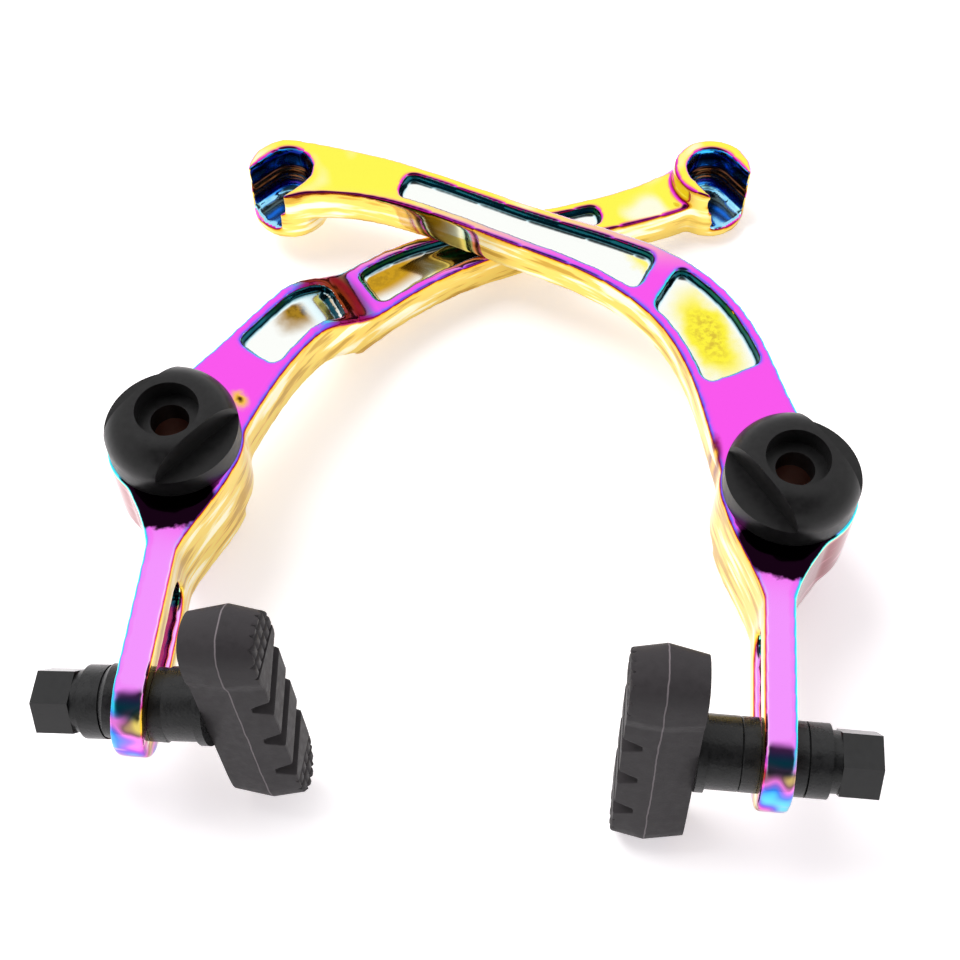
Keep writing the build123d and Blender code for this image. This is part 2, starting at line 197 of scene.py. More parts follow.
class Graph:
    """A short way to write a node tree."""

    def __init__(self, tree: bpy.types.NodeTree) -> None:
        """Empty the tree.

        Args:
            tree: The node tree of a material or of the world.
        """
        self.tree = tree
        tree.nodes.clear()

    def add(self, kind: str, inputs: dict[Any, Any] | None = None, **settings: Any) -> bpy.types.Node:
        """Add one node.

        Args:
            kind: Name of the node's type.
            inputs: What goes into each socket, a value or another node's output.
            settings: Attributes of the node itself.

        Returns:
            The new node.
        """
        node = self.tree.nodes.new(kind)
        for name, value in settings.items():
            setattr(node, name, value)
        for key, value in (inputs or {}).items():
            if isinstance(value, bpy.types.NodeSocket):
                self.tree.links.new(value, node.inputs[key])
            else:
                node.inputs[key].default_value = value
        return node

    def math(self, operation: str, *values: Any, clamp: bool = False) -> Socket:
        """Add a Math node and return its output."""
        node = self.add("ShaderNodeMath", dict(enumerate(values)), operation=operation, use_clamp=clamp)
        return node.outputs[0]

    def vector(self, operation: str, *values: Any, scalar: bool = False) -> Socket:
        """Add a Vector Math node and return its vector, or its number where scalar is set."""
        node = self.add("ShaderNodeVectorMath", dict(enumerate(values)), operation=operation)
        return node.outputs["Value" if scalar else "Vector"]

    def product(self, *values: Any) -> Socket:
        """Multiply all the values and return the product."""
        return reduce(lambda first, second: self.math("MULTIPLY", first, second), values)

    def remap(self, value: Socket, low: float, high: float, to_low: float = 0.0,
              to_high: float = 1.0) -> Socket:
        """Ease a value from one range to another, flat outside it."""
        inputs = {0: value, 1: low, 2: high, 3: to_low, 4: to_high}
        return self.add("ShaderNodeMapRange", inputs, interpolation_type="SMOOTHSTEP").outputs[0]

    def ramp(self, value: Socket, stops: Iterable[tuple[float, Colour]]) -> Socket:
        """Add a colour ramp.

        Args:
            value: What is read on the ramp, from 0 to 1.
            stops: The places on the ramp and their colours.

        Returns:
            The ramp's colour.
        """
        node = self.add("ShaderNodeValToRGB", {0: value})
        elements = node.color_ramp.elements
        stops = list(stops)
        while len(elements) < len(stops):
            elements.new(1.0)
        for element, (place, colour) in zip(elements, stops):
            element.position = place
            element.color = (*colour, 1.0)
        return node.outputs[0]

    def mix(self, share: Any, first: Any, second: Any) -> Socket:
        """Mix two colours.

        Args:
            share: How much of the second one shows, from 0 to 1.
            first: A colour or another node's output.
            second: The same.

        Returns:
            The mixed colour.
        """
        node = self.add("ShaderNodeMix", data_type="RGBA", blend_type="MIX")
        for index, value in ((MIX_SHARE, share), (MIX_FIRST, first), (MIX_SECOND, second)):
            if isinstance(value, bpy.types.NodeSocket):
                self.tree.links.new(value, node.inputs[index])
            elif index == MIX_SHARE:
                node.inputs[index].default_value = value
            else:
                node.inputs[index].default_value = (*value, 1.0)
        return node.outputs[MIX_RESULT]

    def place(self, arms: ArmsFrame) -> tuple[Socket, Socket, Socket]:
        """Find the shaded point in the arms' own frame.

        Args:
            arms: The arms' own frame.

        Returns:
            Its x, y and z, in metres.
        """
        where = self.add("ShaderNodeTexCoord").outputs["Object"]
        offset = self.vector("SUBTRACT", where, tuple(arms.origin))
        axes = (arms.across, arms.along, arms.up)
        return tuple(self.vector("DOT_PRODUCT", offset, tuple(axis), scalar=True) for axis in axes)

    def facing(self, direction: Iterable[float]) -> Socket:
        """Return how far the surface faces a direction, 1 straight at it and -1 away from it."""
        normal = self.add("ShaderNodeTexCoord").outputs["Normal"]
        return self.vector("DOT_PRODUCT", normal, tuple(direction), scalar=True)

    def spot(self, x: Socket, y: Socket, patch: Patch, soft: float, shares: Place = (1.0, 1.0)) -> Socket:
        """Measure how far a point lies inside an ellipse in plan.

        The point is taken from the centre, turned back and divided by the half sizes, so that its
        length is 1 on the rim.

        Args:
            x: Place across the pair.
            y: Place along the arms.
            patch: The ellipse.
            soft: How wide its edge is, as a share of its size.
            shares: What its two half sizes are multiplied by.

        Returns:
            1 inside the ellipse, easing to 0 at its rim.
        """
        turn = radians(patch.turn_deg)
        right = self.math("SUBTRACT", x, patch.centre[0])
        far = self.math("SUBTRACT", y, patch.centre[1])
        along = self.math("ADD", self.product(right, cos(turn)), self.product(far, sin(turn)))
        across = self.math("SUBTRACT", self.product(far, cos(turn)), self.product(right, sin(turn)))
        scaled = self.add("ShaderNodeCombineXYZ", {
            0: self.math("DIVIDE", along, patch.half[0] * shares[0]),
            1: self.math("DIVIDE", across, patch.half[1] * shares[1]),
        }).outputs[0]
        length = self.vector("LENGTH", scaled, scalar=True)
        return self.remap(length, 1.0 - soft, 1.0 + soft * RIM_OVERLAP, 1.0, 0.0)

    def noise(self, scale: float, detail: float = 2.0, where: Socket | None = None) -> Socket:
        """Add noise.

        Args:
            scale: How fine it is.
            detail: How many finer layers it has.
            where: The place that it is read at, or None for the piece's own coordinates.

        Returns:
            Its strength, from 0 to 1.
        """
        if where is None:
            where = self.add("ShaderNodeTexCoord").outputs["Object"]
        return self.add("ShaderNodeTexNoise", {"Vector": where, "Scale": scale, "Detail": detail}).outputs[0]

    def waver(self, scale: float, detail: float, swing: float) -> Socket:
        """Return noise about zero, up to half of the swing either way."""
        return self.product(self.math("SUBTRACT", self.noise(scale, detail), NOISE_MIDDLE), swing)

    def feed(self, shader: bpy.types.Node, name: str, value: Socket) -> None:
        """Link a value to one of the shader's sockets."""
        self.tree.links.new(value, shader.inputs[name])

    def bump(self, shader: bpy.types.Node, height: Socket, depth: float, strength: float = 1.0) -> None:
        """Tilt the shader's normals as the slopes of a height would."""
        node = self.add("ShaderNodeBump", {"Strength": strength, "Distance": depth, "Height": height})
        self.feed(shader, "Normal", node.outputs[0])


# How the plain finishes vary: pale spots that are duller too, and a finer grain.
SPOT_SCALE = 0.35
SPOT_DETAIL = 4.0
SPOT_LIFT = 0.03
SPOT_RANGE = (0.2, 0.8)
GLOSS_SHARES = (0.85, 1.2)
GRAIN_DETAIL = 3.0


@dataclass(frozen=True)
class Finish:
    """A plain finish with a little unevenness in its gloss and its surface."""

    name: str
    colour: Colour
    roughness: float
    metallic: float = 0.0
    speckle: float = 0.0
    grain_size: float = 0.4 * MM
    grain_depth: float = 0.0
    specular: float = 0.5

    def material(self, arms: ArmsFrame) -> bpy.types.Material:
        """Make the material, or find it if it is already there.

        Args:
            arms: The arms' own frame.

        Returns:
            The material.
        """
        found = bpy.data.materials.get(self.name)
        if found:
            return found
        made = bpy.data.materials.new(self.name)
        made.use_nodes = True
        graph = Graph(made.node_tree)
        shader = graph.add("ShaderNodeBsdfPrincipled", {
            "Base Color": (*self.colour, 1.0),
            "Roughness": self.roughness,
            "Metallic": self.metallic,
            "Specular IOR Level": self.specular,
        })
        self.dress(graph, shader, arms)
        output = graph.add("ShaderNodeOutputMaterial")
        graph.tree.links.new(shader.outputs[0], output.inputs[0])
        return made

    def dress(self, graph: Graph, shader: bpy.types.Node, arms: ArmsFrame) -> None:
        """Add the colour, gloss and bump patterns to the shader.

        Args:
            graph: The material's graph.
            shader: Its Principled node.
            arms: The arms' own frame, not used by the plain finish.
        """
        spots = graph.noise(SPOT_SCALE / self.grain_size, SPOT_DETAIL)
        pale = tuple(min(1.0, value * (1 + self.speckle) + SPOT_LIFT * self.speckle) for value in self.colour)
        graph.feed(shader, "Base Color", graph.mix(spots, self.colour, pale))
        glossy, dull = (min(1.0, self.roughness * share) for share in GLOSS_SHARES)
        graph.feed(shader, "Roughness", graph.remap(spots, *SPOT_RANGE, glossy, dull))
        if self.grain_depth:
            graph.bump(shader, graph.noise(1.0 / self.grain_size, GRAIN_DETAIL), self.grain_depth)


Bands = tuple[tuple[float, Colour], ...]

YELLOW_TOP = srgb(255, 248, 84)
PINK_TOP = srgb(250, 88, 238)
PALE_PINK = srgb(244, 150, 255)
GOLD = srgb(236, 208, 104)
# Colours of painted reflections: pale gold for the sheen on the tops and the pale wavy bands on the walls,
# deep gold for the darker wavy bands.
PALE_REFLECTION_GOLD = srgb(255, 254, 226)
DEEP_REFLECTION_GOLD = srgb(176, 128, 30)


@dataclass(frozen=True)
class MouldedRubber(Finish):
    """Pad rubber with the pale thin line that the two halves of its mould leave round it."""

    middle: tuple[float, float, float] = (0.0, 0.0, 0.0)
    axis: tuple[float, float, float] = (1.0, 0.0, 0.0)
    half_width: float = 0.16 * MM
    core_share: float = 0.4
    wander: Waver = (300.0, 2.0, 0.5 * MM)
    line: Colour = srgb(112, 104, 108)

    def dress(self, graph: Graph, shader: bpy.types.Node, arms: ArmsFrame) -> None:
        """Add the line to the plain finish: a pale band of colour where the parting plane meets the pad.

        Args:
            graph: The material's graph.
            shader: Its Principled node.
            arms: The arms' own frame.
        """
        super().dress(graph, shader, arms)
        where = graph.add("ShaderNodeTexCoord").outputs["Object"]
        offset = graph.vector("SUBTRACT", where, self.middle)
        off = graph.vector("DOT_PRODUCT", offset, self.axis, scalar=True)
        off = graph.math("ABSOLUTE", graph.math("ADD", off, graph.waver(*self.wander)))
        band = graph.remap(off, self.half_width, self.half_width * self.core_share)
        plain_colour = shader.inputs["Base Color"].links[0].from_socket
        graph.feed(shader, "Base Color", graph.mix(band, plain_colour, self.line))


@dataclass(frozen=True)
class OilSlick(Finish):
    """Mirror plating whose film changes along the arm and over every rounded edge.

    How far a surface leans from the top face, 0 level and 1 upright, is read on four ramps: at the
    cable end and at the pivot, for surfaces that lean outwards and inwards. They are mixed by the
    place along the arm and by which way the surface leans. The top face is yellow at the cable
    end, pink at the pivot and paler on the leg.
    """

    middle_y: float = -6.0 * MM
    yellow_y: float = 60.0 * MM
    pink_y: float = 44.0 * MM
    root_y: float = -12.0 * MM
    leg_y: float = -26.0 * MM
    drift: Waver = (70.0, 2.0, 0.16)
    drift_reach: float = 30.0 * MM
    outward_range: Range = (-0.03, 0.03)
    pale_leg_lean: Range = (0.10, 0.0)
    pale_leg_share: float = 0.8
    # A painted dark reflection of each cap, on the arm just below it.
    shade: Patch = Patch((52.4 * MM, -11.6 * MM), (9.6 * MM, 6.4 * MM), 0.0, srgb(22, 4, 20))
    shade_soft: float = 0.12
    shade_lean: Range = (0.5, 0.2)
    speck: Waver = (800.0, 3.0, 2.0 * MM)
    tip_from: float = -46.0 * MM
    tip_to: float = -51.0 * MM
    tip_lean: Range = (0.02, 0.3)
    tip_share: float = 0.85
    tip_noise: Texture = (150.0, 1.0)
    tip_bands: Bands = (
        (0.30, srgb(60, 220, 250)), (0.40, srgb(60, 90, 240)), (0.46, srgb(150, 50, 220)),
        (0.52, srgb(250, 90, 220)), (0.58, srgb(150, 10, 50)), (0.66, srgb(255, 210, 60)),
    )
    # Painted reflection spots: an orange one round a dark heart beside the left cap, and a dark red one round
    # a painted gold glint beside the right cap.
    stains: tuple[Patch, ...] = (
        Patch((-42.8 * MM, 9.4 * MM), (1.7 * MM, 2.6 * MM), 35.0, srgb(250, 196, 70), srgb(66, 22, 12)),
        Patch((39.8 * MM, 5.6 * MM), (1.5 * MM, 4.4 * MM), 0.0, srgb(120, 8, 44), srgb(246, 190, 60)),
    )
    stain_soft: float = 0.7
    stain_heart_soft: float = 0.9
    stain_heart_half: Place = (0.4, 0.4)
    # A painted dark reflection on the web between the left arm's pockets, with an orange-brown heart.
    web: Patch = Patch(
        (-30.5 * MM, 37.0 * MM), (6.5 * MM, 12.0 * MM), 37.7, srgb(150, 10, 96), srgb(150, 64, 24),
    )
    web_soft: float = 0.4
    web_lean: Range = (0.9, 0.6)
    web_heart_soft: float = 0.6
    web_heart_half: Place = (0.5, 0.5)
    # A painted pale sheen on the yellow tops, in soft clouds of noise.
    cloud_lean: Range = (0.06, 0.0)
    cloud_pink: Range = (0.5, 0.0)
    cloud_noise: Texture = (90.0, 1.0)
    cloud_range: Range = (0.50, 0.66)
    # Painted wavy reflections on the steep walls, pale and deep gold inside and a painted pink sheen outside.
    steep_lean: Range = (0.8, 0.95)
    streak_stretch: tuple[float, float, float] = (0.25, 0.25, 1.6)
    streak_noise: Texture = (260.0, 3.0)
    pale_streak: Range = (0.52, 0.64)
    pale_streak_share: float = 0.85
    deep_streak: Range = (0.46, 0.36)
    deep_streak_share: float = 0.7
    outer_sheen: Colour = srgb(236, 170, 190)
    outer_sheen_share: float = 0.6
    ripple: Texture = (260.0, 2.0)
    ripple_depth: float = 0.05 * MM
    ripple_strength: float = 0.5
    outer_cable: Bands = (
        (0.00, YELLOW_TOP), (0.05, srgb(255, 232, 100)), (0.13, srgb(252, 130, 196)),
        (0.30, srgb(246, 100, 226)), (0.60, srgb(206, 70, 190)), (0.86, srgb(206, 140, 90)),
        (1.00, srgb(226, 200, 120)),
    )
    outer_pivot: Bands = (
        (0.00, PINK_TOP), (0.03, srgb(220, 96, 250)), (0.07, srgb(120, 150, 250)), (0.13, srgb(50, 214, 245)),
        (0.50, srgb(84, 244, 232)), (0.76, srgb(196, 250, 200)), (0.92, srgb(190, 130, 120)),
        (1.00, srgb(156, 84, 92)),
    )
    inner_cable: Bands = (
        (0.00, YELLOW_TOP), (0.04, srgb(255, 170, 110)), (0.10, srgb(250, 70, 222)),
        (0.30, srgb(206, 22, 160)), (0.48, srgb(116, 6, 44)), (0.62, srgb(160, 60, 12)),
        (0.80, srgb(216, 168, 46)), (1.00, GOLD),
    )
    inner_pivot: Bands = (
        (0.00, PINK_TOP), (0.04, srgb(206, 92, 252)), (0.12, srgb(104, 120, 248)), (0.26, srgb(140, 50, 226)),
        (0.42, srgb(142, 8, 84)), (0.58, srgb(160, 44, 14)), (0.76, srgb(246, 176, 40)), (1.00, GOLD),
    )
    # Its near-white band just off level is a painted highlight on the rounded inner edge; the other bands are
    # the film's colours.
    leg_inner: Bands = (
        (0.00, PALE_PINK), (0.08, srgb(255, 210, 255)), (0.22, srgb(255, 120, 230)),
        (0.42, srgb(190, 40, 80)), (0.60, srgb(226, 120, 20)), (0.80, srgb(252, 216, 70)),
        (1.00, GOLD),
    )

    def blend(self, graph: Graph, share: Socket, lean: Socket, first: Bands, second: Bands) -> Socket:
        """Read two ramps at the same lean and mix them."""
        return graph.mix(share, graph.ramp(lean, first), graph.ramp(lean, second))

    def outward(self, graph: Graph, x: Socket, y: Socket, arms: ArmsFrame) -> Socket:
        """Measure how far the surface faces away from the middle of the pair.

        Args:
            graph: The material's graph.
            x: Place across the pair.
            y: Place along the arms.
            arms: The arms' own frame.

        Returns:
            1 straight away from the middle and -1 straight towards it.
        """
        plan = graph.add("ShaderNodeCombineXYZ", {
            0: graph.product(x, arms.across[0]),
            1: graph.math("SUBTRACT", y, self.middle_y),
        }).outputs[0]
        normal = graph.add("ShaderNodeTexCoord").outputs["Normal"]
        return graph.vector("DOT_PRODUCT", normal, graph.vector("NORMALIZE", plan), scalar=True)

    def film(self, graph: Graph, y: Socket, spread: Socket, outward: Socket, pink: Socket) -> Socket:
        """Colour the film by its lean, by which way it leans and by the place along the arm.

        Args:
            graph: The material's graph.
            y: Place along the arms, wavering a little.
            spread: How far the surface leans, 0 level and 1 upright.
            outward: How far it faces away from the middle of the pair.
            pink: 0 at the cable ends, 1 at the pivots.

        Returns:
            The film's colour.
        """
        outer = self.blend(graph, pink, spread, self.outer_cable, self.outer_pivot)
        inner = self.blend(graph, pink, spread, self.inner_cable, self.inner_pivot)
        outside = graph.remap(outward, *self.outward_range)
        on_leg = graph.remap(y, self.root_y, self.leg_y)
        leg_side = graph.mix(outside, graph.ramp(spread, self.leg_inner), outer)
        colour = graph.mix(on_leg, graph.mix(outside, inner, outer), leg_side)
        pale = graph.product(on_leg, graph.remap(spread, *self.pale_leg_lean), self.pale_leg_share)
        return graph.mix(pale, colour, PALE_PINK)

    def marks(self, graph: Graph, colour: Socket, x: Socket, y: Socket, spread: Socket,
              pink: Socket) -> Socket:
        """Add the film's tip patches and its painted reflections.

        These are a painted dark reflection on the web between the left arm's pockets, a painted pale
        sheen on the yellow tops, a painted dark reflection below each cap, patches on the leg tips, and
        two painted reflection spots, one round a dark heart and one round a painted gold glint.

        Args:
            graph: The material's graph.
            colour: The film's colour so far.
            x: Place across the pair.
            y: Place along the arms.
            spread: How far the surface leans, 0 level and 1 upright.
            pink: 0 at the cable ends, 1 at the pivots.

        Returns:
            The colour with the marks.
        """
        # Painted dark reflection on the web between the left arm's pockets.
        web = graph.product(graph.spot(x, y, self.web, self.web_soft), graph.remap(spread, *self.web_lean))
        heart = graph.spot(x, y, self.web, self.web_heart_soft, self.web_heart_half)
        colour = graph.mix(web, colour, graph.mix(heart, self.web.rim, self.web.heart))
        # Painted pale sheen on the level yellow tops.
        top_sheen = graph.product(
            graph.remap(spread, *self.cloud_lean), graph.remap(pink, *self.cloud_pink),
            graph.remap(graph.noise(*self.cloud_noise), *self.cloud_range),
        )
        colour = graph.mix(top_sheen, colour, PALE_REFLECTION_GOLD)
        rough_y = graph.math("ADD", y, graph.waver(*self.speck))
        # Painted dark reflection of each cap, on surfaces that are not steep.
        shade = graph.spot(graph.math("ABSOLUTE", x), rough_y, self.shade, self.shade_soft)
        shade = graph.product(shade, graph.remap(spread, *self.shade_lean))
        colour = graph.mix(shade, colour, self.shade.rim)
        at_tip = graph.product(
            graph.remap(y, self.tip_from, self.tip_to), graph.remap(spread, *self.tip_lean), self.tip_share,
        )
        colour = graph.mix(at_tip, colour, graph.ramp(graph.noise(*self.tip_noise), self.tip_bands))
        # Painted reflection spots, each with a heart of its own colour.
        for reflection_spot in self.stains:
            area = graph.spot(x, rough_y, reflection_spot, self.stain_soft)
            middle = graph.spot(x, rough_y, reflection_spot, self.stain_heart_soft, self.stain_heart_half)
            colour = graph.mix(area, colour, graph.mix(middle, reflection_spot.rim, reflection_spot.heart))
        return colour

    def streaks(self, graph: Graph, colour: Socket, where: tuple[Socket, ...], spread: Socket,
                outward: Socket) -> Socket:
        """Add the wavy reflections on the steep walls, as noise that is stretched along the arm.

        Args:
            graph: The material's graph.
            colour: The film's colour so far.
            where: The shaded point in the arms' own frame.
            spread: How far the surface leans, 0 level and 1 upright.
            outward: How far it faces away from the middle of the pair.

        Returns:
            The colour with the streaks.
        """
        steep = graph.remap(spread, *self.steep_lean)
        stretched = graph.add("ShaderNodeCombineXYZ", {
            index: graph.product(place, share)
            for index, (place, share) in enumerate(zip(where, self.streak_stretch))
        }).outputs[0]
        noise = graph.noise(*self.streak_noise, stretched)
        # Pale and deep bands of stretched noise are painted wavy reflections; outer walls take a painted
        # sheen.
        pale = graph.product(steep, graph.remap(noise, *self.pale_streak), self.pale_streak_share)
        deep = graph.product(steep, graph.remap(noise, *self.deep_streak), self.deep_streak_share)
        inside = graph.remap(outward, *reversed(self.outward_range))
        outside = graph.math("SUBTRACT", 1.0, inside)
        colour = graph.mix(graph.product(pale, inside), colour, PALE_REFLECTION_GOLD)
        colour = graph.mix(graph.product(deep, inside), colour, DEEP_REFLECTION_GOLD)
        sheen = graph.product(pale, outside, self.outer_sheen_share)
        return graph.mix(sheen, colour, self.outer_sheen)

    def dress(self, graph: Graph, shader: bpy.types.Node, arms: ArmsFrame) -> None:
        """Colour the plating by its place and by which way it leans.

        Args:
            graph: The material's graph.
            shader: Its Principled node.
            arms: The arms' own frame.
        """
        where = graph.place(arms)
        x, y, _ = where
        drift = graph.waver(*self.drift)
        lean = graph.math("SUBTRACT", 1.0, graph.facing(arms.up))
        spread = graph.math("MULTIPLY", lean, graph.math("ADD", 1.0, drift), clamp=True)
        outward = self.outward(graph, x, y, arms)
        wavy_y = graph.math("ADD", y, graph.product(drift, self.drift_reach))
        pink = graph.remap(wavy_y, self.yellow_y, self.pink_y)
        colour = self.film(graph, wavy_y, spread, outward, pink)
        colour = self.marks(graph, colour, x, y, spread, pink)
        colour = self.streaks(graph, colour, where, spread, outward)
        graph.feed(shader, "Base Color", colour)
        graph.bump(shader, graph.noise(*self.ripple), self.ripple_depth, self.ripple_strength)


@dataclass(frozen=True)
class PocketMirror(Finish):
    """Plating in a lightening pocket: a white floor with a painted glow of colour, and steep walls in painted
    dark reflections.
    """

    glow: Patch = Patch((0.0, 0.0), (1.0, 1.0), 0.0, YELLOW_TOP)
    glow_soft: float = 0.55
    heart_share: float = 0.0
    heart_soft: float = 0.8
    heart_half: Place = (0.6, 0.55)
    waves: Waver = (220.0, 3.0, 4.0 * MM)
    mottle: Texture = (900.0, 4.0)
    mottle_range: Range = (0.38, 0.62)
    floor: Colour = srgb(252, 254, 250)
    wall_lean: Range = (0.02, 0.10)
    # The walls' bands are painted reflections: dark teal with pale and blue-green bands.
    walls: Bands = (
        (0.00, srgb(255, 255, 252)), (0.12, srgb(232, 252, 255)), (0.30, srgb(120, 170, 182)),
        (0.42, srgb(16, 40, 50)), (0.74, srgb(14, 84, 100)), (0.92, srgb(40, 130, 142)),
        (1.00, srgb(18, 56, 66)),
    )

    def dress(self, graph: Graph, shader: bpy.types.Node, arms: ArmsFrame) -> None:
        """Colour the pocket by how steep it is and, on its floor, by the place.

        Args:
            graph: The material's graph.
            shader: Its Principled node.
            arms: The arms' own frame.
        """
        x, y, _ = graph.place(arms)
        waves = graph.waver(*self.waves)
        x = graph.math("ADD", x, waves)
        y = graph.math("ADD", y, waves)
        lean = graph.math("SUBTRACT", 1.0, graph.facing(arms.up), clamp=True)
        # A painted glow of colour on the floor, with a darker heart where one is set.
        lit = graph.spot(x, y, self.glow, self.glow_soft)
        heart = graph.spot(x, y, self.glow, self.heart_soft, self.heart_half)
        mottle = graph.remap(graph.noise(*self.mottle), *self.mottle_range)
        heart = graph.product(heart, mottle, self.heart_share)
        floor = graph.mix(heart, graph.mix(lit, self.floor, self.glow.rim), self.glow.heart)
        # Painted dark reflections on the steep walls.
        wall = graph.ramp(lean, self.walls)
        graph.feed(shader, "Base Color", graph.mix(graph.remap(lean, *self.wall_lean), floor, wall))


@dataclass(frozen=True)
class SocketMirror(Finish):
    """Plating in a cable socket: nearly black as a painted dark reflection, with blue rings as painted
    highlights, brown rings and a pale blue floor.
    """

    top: float = 0.0
    depth: float = 9.9 * MM
    unevenness: Waver = (160.0, 3.0, 0.30)
    floor_noise: Texture = (500.0, 2.0)
    floor_pale: Colour = srgb(196, 246, 255)
    floor_blue: Colour = srgb(70, 190, 250)
    floor_facing: Range = (0.75, 0.95)
    floor_level: Range = (0.8, 0.9)
    ring_pitch: float = 0.9 * MM
    ring_level: Range = (0.45, 0.55)
    ring_depth: float = 0.12 * MM
    ring_strength: float = 0.8
    # Bands by depth: the dark ones are painted dark reflections and the blue ones painted highlights, with
    # brown ones between.
    bands: Bands = (
        (0.00, srgb(20, 60, 190)), (0.07, srgb(60, 190, 255)), (0.13, srgb(16, 40, 140)),
        (0.24, srgb(8, 14, 50)), (0.38, srgb(40, 130, 235)), (0.46, srgb(8, 12, 40)),
        (0.54, srgb(120, 74, 40)), (0.60, srgb(24, 12, 14)), (0.70, srgb(150, 96, 60)),
        (0.76, srgb(22, 14, 34)), (0.86, srgb(70, 40, 160)), (0.93, srgb(40, 150, 250)),
        (1.00, srgb(170, 246, 255)),
    )

    def dress(self, graph: Graph, shader: bpy.types.Node, arms: ArmsFrame) -> None:
        """Colour the socket by its depth, unevenly round its wall, with fine rings low down.

        Args:
            graph: The material's graph.
            shader: Its Principled node.
            arms: The arms' own frame.
        """
        _, _, z = graph.place(arms)
        below = graph.math("DIVIDE", graph.math("SUBTRACT", self.top, z), self.depth)
        level = graph.math("ADD", below, graph.waver(*self.unevenness), clamp=True)
        floor = graph.mix(graph.noise(*self.floor_noise), self.floor_pale, self.floor_blue)
        level_face = graph.remap(graph.facing(arms.up), *self.floor_facing)
        on_floor = graph.product(level_face, graph.remap(below, *self.floor_level))
        # Painted dark reflections and blue highlights by depth, with the pale floor at the bottom.
        graph.feed(shader, "Base Color", graph.mix(on_floor, graph.ramp(level, self.bands), floor))
        ring = graph.math("SINE", graph.product(z, 2 * pi / self.ring_pitch))
        ring = graph.product(ring, graph.remap(below, *self.ring_level))
        graph.bump(shader, ring, self.ring_depth, self.ring_strength)


PLATING = OilSlick("oil_slick_plating", srgb(250, 150, 200), roughness=0.08, metallic=1.0)
POCKET_WHITE = srgb(250, 250, 250)
SOCKET_BLUE = srgb(20, 30, 80)
MIRROR_ROUGHNESS = 0.10
CAP_BLACK = Finish("satin_black_cap", (0.0045, 0.0042, 0.0045), roughness=0.33, speckle=0.3, specular=0.26)
STEEL_BLACK = Finish(
    "black_oxide_steel", (0.004, 0.004, 0.0045), roughness=0.28, speckle=0.6, grain_size=0.5 * MM,
    grain_depth=0.05 * MM, specular=0.32,
)
NUT_BLACK = Finish("gloss_black_nut", (0.004, 0.004, 0.0045), roughness=0.16, speckle=0.3, specular=0.42)
RUBBER = MouldedRubber(
    "moulded_pad_rubber", (0.019, 0.016, 0.018), roughness=0.58, speckle=0.5, grain_size=0.45 * MM,
    grain_depth=0.03 * MM, specular=0.26,
)
BRONZE = Finish("bearing_bronze", (0.22, 0.085, 0.045), roughness=0.5, metallic=0.6, speckle=0.5)
SPRING_WIRE = Finish("spring_wire", (0.20, 0.20, 0.21), roughness=0.3, metallic=1.0, speckle=0.3)


@dataclass(frozen=True)
class Viewpoint:
    """The camera, placed in the arms' own frame: aim, distance, rise and turn of the view."""

    lens_mm: float = 60.0
    sensor_mm: float = 36.0
    distance: float = 0.270
    rise_deg: float = 58.0
    turn_deg: float = 5.24
    aim: Place = (0.38 * MM, -3.38 * MM)
    clip_near: float = 0.01

    def axes(self, arms: ArmsFrame) -> tuple[Vector, Vector]:
        """Work out which way the camera is turned.

        Args:
            arms: The arms' own frame.

        Returns:
            The view's right-hand direction, and the direction back to the camera.
        """
        turn = radians(self.turn_deg)
        rise = radians(self.rise_deg)
        right = arms.direction(cos(turn), sin(turn))
        back = arms.direction(sin(turn) * cos(rise), -cos(turn) * cos(rise), sin(rise))
        return right, back

    def place(self, arms: ArmsFrame) -> None:
        """Make the camera and set it as the scene's own.

        Args:
            arms: The arms' own frame.
        """
        right, back = self.axes(arms)
        upward = back.cross(right)
        data = bpy.data.cameras.new("camera")
        data.lens = self.lens_mm
        data.sensor_width = self.sensor_mm
        data.clip_start = self.clip_near
        camera = add_object("camera", data)
        turned = Matrix((right, upward, back)).transposed().to_4x4()
        camera.matrix_world = Matrix.Translation(arms.point(*self.aim) + back * self.distance) @ turned
        bpy.context.scene.camera = camera


